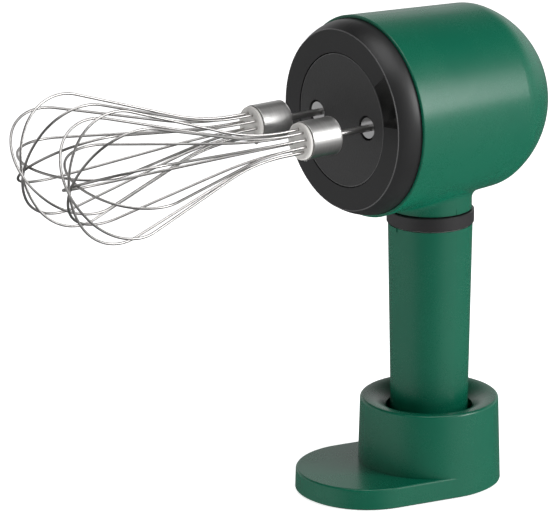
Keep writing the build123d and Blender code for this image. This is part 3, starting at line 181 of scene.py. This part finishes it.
# ---------------------------------------------------------------- shared surface effects
def start_effect(name, sizes, results):
    """A new node group: its number inputs, its outputs, and a Place input for coordinates."""
    group = bpy.data.node_groups.new(name, "ShaderNodeTree")
    group.interface.new_socket(name="Place", in_out="INPUT", socket_type="NodeSocketVector")
    for label, value in sizes.items():
        socket = group.interface.new_socket(name=label, in_out="INPUT", socket_type="NodeSocketFloat")
        socket.default_value = value
    for label in results:
        group.interface.new_socket(name=label, in_out="OUTPUT", socket_type="NodeSocketFloat")
    return group, group.nodes.new("NodeGroupInput"), group.nodes.new("NodeGroupOutput")


def speckle(tree, place, scale, detail):
    """A noise field; its scale is a number or a socket."""
    field = tree.nodes.new("ShaderNodeTexNoise")
    field.inputs["Detail"].default_value = detail
    tree.links.new(place, field.inputs["Vector"])
    if isinstance(scale, float):
        field.inputs["Scale"].default_value = scale
    else:
        tree.links.new(scale, field.inputs["Scale"])
    return field.outputs["Fac"]


def spread(tree, value, start, end, low, high):
    """Maps a value from start..end to low..high; low and high are numbers or sockets."""
    ramp = tree.nodes.new("ShaderNodeMapRange")
    ramp.inputs["From Min"].default_value = start
    ramp.inputs["From Max"].default_value = end
    for label, wanted in (("To Min", low), ("To Max", high)):
        if isinstance(wanted, float):
            ramp.inputs[label].default_value = wanted
        else:
            tree.links.new(wanted, ramp.inputs[label])
    tree.links.new(value, ramp.inputs["Value"])
    return ramp.outputs["Result"]


def moulded_skin():
    """Fine spark-eroded grain of a moulding, with faint patches left by handling."""
    sizes = {"Grain Scale": 2600.0, "Smooth": 0.30, "Rough": 0.42, "Patch Scale": 38.0}
    group, given, made = start_effect("moulded_skin", sizes, ("Grain", "Roughness", "Tone"))
    fine = speckle(group, given.outputs["Place"], given.outputs["Grain Scale"], 3.0)
    patch = speckle(group, given.outputs["Place"], given.outputs["Patch Scale"], 4.0)
    fine_share = reckon(group, "MULTIPLY", fine, 0.35)
    patch_share = reckon(group, "MULTIPLY", patch, 0.65)
    blend = reckon(group, "ADD", fine_share, patch_share)
    rough = spread(group, blend, 0.35, 0.65, given.outputs["Smooth"], given.outputs["Rough"])
    group.links.new(fine, made.inputs["Grain"])
    group.links.new(rough, made.inputs["Roughness"])
    group.links.new(patch, made.inputs["Tone"])
    return group


def turned_marks():
    """Fine marks round a turned or drawn metal part: the place comes in already stretched."""
    sizes = {"Mark Scale": 900.0, "Smooth": 0.18, "Rough": 0.34, "Stain Scale": 120.0}
    group, given, made = start_effect("turned_marks", sizes, ("Marks", "Roughness", "Tone"))
    marks = speckle(group, given.outputs["Place"], given.outputs["Mark Scale"], 5.0)
    stain = speckle(group, given.outputs["Place"], given.outputs["Stain Scale"], 3.0)
    marks_share = reckon(group, "MULTIPLY", marks, 0.6)
    stain_share = reckon(group, "MULTIPLY", stain, 0.4)
    blend = reckon(group, "ADD", marks_share, stain_share)
    rough = spread(group, blend, 0.35, 0.65, given.outputs["Smooth"], given.outputs["Rough"])
    group.links.new(marks, made.inputs["Marks"])
    group.links.new(rough, made.inputs["Roughness"])
    group.links.new(stain, made.inputs["Tone"])
    return group


SKIN = moulded_skin()
MARKS = turned_marks()


# ---------------------------------------------------------------- materials
def blank(name):
    """A material with its shader and its output."""
    material = bpy.data.materials.new(name)
    material.use_nodes = True
    shader = material.node_tree.nodes["Principled BSDF"]
    return material, material.node_tree, shader


def place_of(tree, stretch=(1.0, 1.0, 1.0)):
    """The object's own coordinates, stretched along an axis where marks are drawn out."""
    coordinates = tree.nodes.new("ShaderNodeTexCoord")
    mapping = tree.nodes.new("ShaderNodeMapping")
    mapping.inputs["Scale"].default_value = stretch
    tree.links.new(coordinates.outputs["Object"], mapping.inputs["Vector"])
    return mapping.outputs["Vector"]


def mix_colours(tree, amount, dark, light):
    """Blends two colours; each is a tuple or a socket."""
    mix = tree.nodes.new("ShaderNodeMix")
    mix.data_type = "RGBA"
    tree.links.new(amount, mix.inputs[0])
    for socket, colour in zip((mix.inputs[6], mix.inputs[7]), (dark, light)):
        if isinstance(colour, tuple):
            socket.default_value = colour + (1.0,)
        else:
            tree.links.new(colour, socket)
    return mix.outputs[2]


def raise_surface(tree, shader, height, distance):
    """Height to bump on the shader's normal."""
    bump = tree.nodes.new("ShaderNodeBump")
    bump.inputs["Strength"].default_value = 1.0
    bump.inputs["Distance"].default_value = distance
    tree.links.new(height, bump.inputs["Height"])
    tree.links.new(bump.outputs["Normal"], shader.inputs["Normal"])


def plastic(
    name, dark, light, smooth, rough, grain_scale=2600.0, grain_depth=0.00001, shine=0.5
):
    """A moulded plastic: its two close colours, its roughness range and its grain."""
    material, tree, shader = blank(name)
    skin = tree.nodes.new("ShaderNodeGroup")
    skin.node_tree = SKIN
    skin.inputs["Grain Scale"].default_value = grain_scale
    skin.inputs["Smooth"].default_value = smooth
    skin.inputs["Rough"].default_value = rough
    tree.links.new(place_of(tree), skin.inputs["Place"])
    tone = spread(tree, skin.outputs["Tone"], 0.3, 0.7, 0.0, 1.0)
    colour = mix_colours(tree, tone, dark, light)
    tree.links.new(colour, shader.inputs["Base Color"])
    tree.links.new(skin.outputs["Roughness"], shader.inputs["Roughness"])
    shader.inputs["Specular IOR Level"].default_value = shine
    raise_surface(tree, shader, skin.outputs["Grain"], grain_depth)
    return material


def metal(
    name, dark, light, smooth, rough, stretch=(1.0, 1.0, 1.0), mark_scale=900.0, depth=0.000004
):
    """A metal: its two close colours, its roughness range and the run of its marks."""
    material, tree, shader = blank(name)
    marks = tree.nodes.new("ShaderNodeGroup")
    marks.node_tree = MARKS
    marks.inputs["Mark Scale"].default_value = mark_scale
    marks.inputs["Smooth"].default_value = smooth
    marks.inputs["Rough"].default_value = rough
    tree.links.new(place_of(tree, stretch), marks.inputs["Place"])
    tone = spread(tree, marks.outputs["Tone"], 0.3, 0.7, 0.0, 1.0)
    tree.links.new(mix_colours(tree, tone, dark, light), shader.inputs["Base Color"])
    tree.links.new(marks.outputs["Roughness"], shader.inputs["Roughness"])
    shader.inputs["Metallic"].default_value = 1.0
    raise_surface(tree, shader, marks.outputs["Marks"], depth)
    return material


emerald = plastic("emerald_satin", (0.0012, 0.108, 0.060), (0.0018, 0.115, 0.064), 0.24, 0.30)
black_satin = plastic(
    "black_satin", (0.015, 0.015, 0.0155), (0.018, 0.018, 0.0185),
    0.34, 0.42, 1500.0, 0.00002, 0.38,
)
plate_satin = plastic(
    "plate_satin", (0.026, 0.026, 0.0265), (0.030, 0.030, 0.0305),
    0.38, 0.50, 1300.0, 0.00009,
)
ring_satin = plastic("ring_satin", (0.020, 0.019, 0.020), (0.024, 0.023, 0.024), 0.36, 0.44)
window_black = plastic(
    "window_black", (0.0035, 0.0035, 0.0035), (0.0045, 0.0045, 0.0045),
    0.14, 0.18, 500.0, 0.000001, 0.3,
)
# A light grey for the thin rings on the cap face and face plate edges: a painted highlight, where the
# real edges only catch light.
edge_grey = plastic("edge_grey", (0.075, 0.075, 0.076), (0.090, 0.090, 0.091), 0.26, 0.34)
cover_black = plastic("cover_black", (0.018, 0.018, 0.018), (0.024, 0.024, 0.024), 0.5, 0.6)
rubber = plastic("rubber", (0.018, 0.018, 0.018), (0.026, 0.025, 0.024), 0.75, 0.88, 900.0, 0.00004)
core_white = plastic("core_white", (0.60, 0.585, 0.56), (0.68, 0.665, 0.64), 0.40, 0.52, 1800.0)
nylon = plastic("nylon", (0.62, 0.60, 0.54), (0.70, 0.68, 0.62), 0.35, 0.45)
housing_nylon = plastic("housing_nylon", (0.42, 0.42, 0.40), (0.48, 0.48, 0.46), 0.42, 0.52)
motor_plastic = plastic("motor_plastic", (0.020, 0.021, 0.024), (0.028, 0.029, 0.032), 0.45, 0.55)
washer_white = plastic("washer_white", (0.60, 0.60, 0.58), (0.68, 0.68, 0.66), 0.3, 0.4)
battery_wrap = plastic("battery_wrap", (0.02, 0.12, 0.34), (0.03, 0.14, 0.38), 0.18, 0.30)
board_green = plastic(
    "board_green", (0.010, 0.085, 0.030), (0.014, 0.110, 0.040),
    0.28, 0.42, 420.0, 0.00003,
)
magnet_dark = plastic(
    "magnet_dark", (0.060, 0.058, 0.056), (0.085, 0.082, 0.080),
    0.55, 0.7, 700.0, 0.00003,
)
carbon = plastic("carbon", (0.012, 0.012, 0.012), (0.020, 0.020, 0.020), 0.6, 0.8, 1200.0, 0.00003)

chrome = metal("chrome", (0.72, 0.72, 0.73), (0.80, 0.80, 0.80), 0.06, 0.12, (1.0, 12.0, 1.0), 300.0)
stem_steel = metal(
    "stem_steel", (0.60, 0.59, 0.58), (0.68, 0.67, 0.66),
    0.28, 0.36, (12.0, 1.0, 12.0), 300.0,
)
ferrule_steel = metal(
    "ferrule_steel", (0.56, 0.555, 0.545), (0.64, 0.635, 0.625),
    0.33, 0.42, (1.0, 16.0, 1.0), 260.0, 0.000008,
)
wire_steel = metal(
    "wire_steel", (0.50, 0.485, 0.475), (0.60, 0.585, 0.575),
    0.30, 0.38, (1.0, 1.0, 1.0), 600.0,
)
spring_steel = metal("spring_steel", (0.50, 0.49, 0.47), (0.60, 0.59, 0.57), 0.2, 0.3)
fastener_steel = metal("fastener_steel", (0.42, 0.42, 0.42), (0.52, 0.52, 0.52), 0.25, 0.38)
shaft_steel = metal("shaft_steel", (0.56, 0.56, 0.56), (0.64, 0.64, 0.64), 0.12, 0.22)
motor_steel = metal(
    "motor_steel", (0.46, 0.46, 0.45), (0.56, 0.56, 0.55),
    0.28, 0.42, (1.0, 8.0, 1.0), 300.0,
)
bronze = metal("bronze", (0.52, 0.34, 0.16), (0.62, 0.42, 0.21), 0.34, 0.5)
copper = metal(
    "copper", (0.66, 0.28, 0.12), (0.78, 0.36, 0.17),
    0.22, 0.36, (1.0, 24.0, 24.0), 120.0, 0.00004,
)

finishes = {
    "green_shell": emerald, "black_cap": black_satin, "ring_plastic": ring_satin,
    "plate_grey": plate_satin,
    "window_gloss": window_black, "base_plastic": cover_black, "rubber_pad": rubber,
    "socket_chrome": chrome, "stem_steel": stem_steel, "ferrule_steel": ferrule_steel,
    "wire_steel": wire_steel, "core_white": core_white, "gear_nylon": nylon,
    "gearbox_nylon": housing_nylon, "spring_steel": spring_steel, "fastener_steel": fastener_steel,
    "shaft_steel": shaft_steel, "motor_steel": motor_steel, "motor_plastic": motor_plastic,
    "bronze": bronze, "copper": copper, "magnet": magnet_dark, "carbon": carbon,
    "circuit_board": board_green, "battery_wrap": battery_wrap, "washer_white": washer_white,
}
for node in nodes.values():
    for holder in node.material_slots:
        holder.material = finishes[holder.material.name.split(".")[0]]

# ---------------------------------------------------------------- small moulded and rolled edges, and painted highlight lines
def settle(piece, name, finish, body):
    """Names a new piece, puts its place into its mesh, paints it, and ties it to its body."""
    piece.name = name
    piece.data.name = name
    bpy.ops.object.transform_apply(location=True, rotation=True, scale=True)
    piece.data.materials.append(finish)
    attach(piece, body)


def bead(name, centre, radius, thickness, finish, body):
    """A fine round ring about an axis along Y, as left on a rolled or moulded edge."""
    bpy.ops.object.select_all(action="DESELECT")
    bpy.ops.mesh.primitive_torus_add(
        major_radius=radius, minor_radius=thickness, major_segments=96, minor_segments=10,
        location=centre, rotation=(radians(90.0), 0.0, 0.0),
    )
    bpy.ops.object.shade_smooth()
    settle(bpy.context.object, name, finish, body)


def middle_and_radius(node):
    """A round node seen along Y: its middle in X and Z, its radius, its front and its back."""
    low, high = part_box(node)
    return (low[0] + high[0]) / 2, (low[2] + high[2]) / 2, (high[0] - low[0]) / 2, low[1], high[1]


EDGE_BEAD = 0.00022
LIP_BEAD = 0.0005
CAP_FACE_RADIUS = 0.0380
SHELL_RIM_RADIUS = 0.0426
NECK_RADIUS = 0.0176
PARTING_SIZE = (0.0003, 0.00022, 0.0024)
PARTING_LIFT = 0.0017

# The face plate and the cap face each get a fine light grey ring on their edge: a painted highlight
# line along the edge.
plate_x, plate_z, plate_radius, plate_front, _ = middle_and_radius("face_plate")
bead("face_plate_edge", (plate_x, plate_front + EDGE_BEAD * 0.4, plate_z), plate_radius - EDGE_BEAD,
     EDGE_BEAD * 1.1, edge_grey, "mixer")
cap_x, cap_z, _, cap_front, _ = middle_and_radius("front_cap")
bead("cap_face_edge", (cap_x, cap_front + EDGE_BEAD * 0.6, cap_z), CAP_FACE_RADIUS,
     EDGE_BEAD * 1.1, edge_grey, "mixer")
head_x, _, _, head_rim, _ = middle_and_radius("head_shell")
bead("shell_lip", (head_x, head_rim + LIP_BEAD, cap_z), SHELL_RIM_RADIUS - LIP_BEAD,
     LIP_BEAD, emerald, "mixer")

# Each ferrule has a fine rolled edge at both ends.
for side in ("left", "right"):
    hub_x, hub_z, hub_radius, hub_front, hub_back = middle_and_radius("whisk_ferrule_" + side)
    body = "whisk_" + side
    for end, place in (("front", hub_front + EDGE_BEAD), ("rear", hub_back - EDGE_BEAD)):
        bead("ferrule_%s_edge_%s" % (end, side), (hub_x, place, hub_z), hub_radius - EDGE_BEAD * 0.8,
             EDGE_BEAD, ferrule_steel, body)

# The neck of the head keeps a fine parting line on its right side.
_, ring_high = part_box("speed_ring")
bpy.ops.object.select_all(action="DESELECT")
bpy.ops.mesh.primitive_cube_add(
    size=1.0, scale=PARTING_SIZE, location=(NECK_RADIUS, 0.0, ring_high[2] + PARTING_LIFT)
)
settle(bpy.context.object, "neck_parting_line", emerald, "mixer")

# ---------------------------------------------------------------- floor
bpy.ops.object.select_all(action="DESELECT")
bpy.ops.mesh.primitive_plane_add(size=24.0, location=(0.0, 0.0, 0.0))
floor = bpy.context.object
floor.name = "floor"
floor_paint, floor_tree, floor_shader = blank("floor_paint")
floor_tone = speckle(floor_tree, place_of(floor_tree), 6.0, 2.0)
floor_colour = mix_colours(floor_tree, floor_tone, (0.90, 0.90, 0.90), (0.92, 0.92, 0.92))
floor_tree.links.new(floor_colour, floor_shader.inputs["Base Color"])
floor_shader.inputs["Roughness"].default_value = 0.9
floor_shader.inputs["Emission Color"].default_value = (1.0, 1.0, 1.0, 1.0)
floor_shader.inputs["Emission Strength"].default_value = 0.80
floor.data.materials.append(floor_paint)
floor.visible_glossy = False
floor.visible_shadow = False
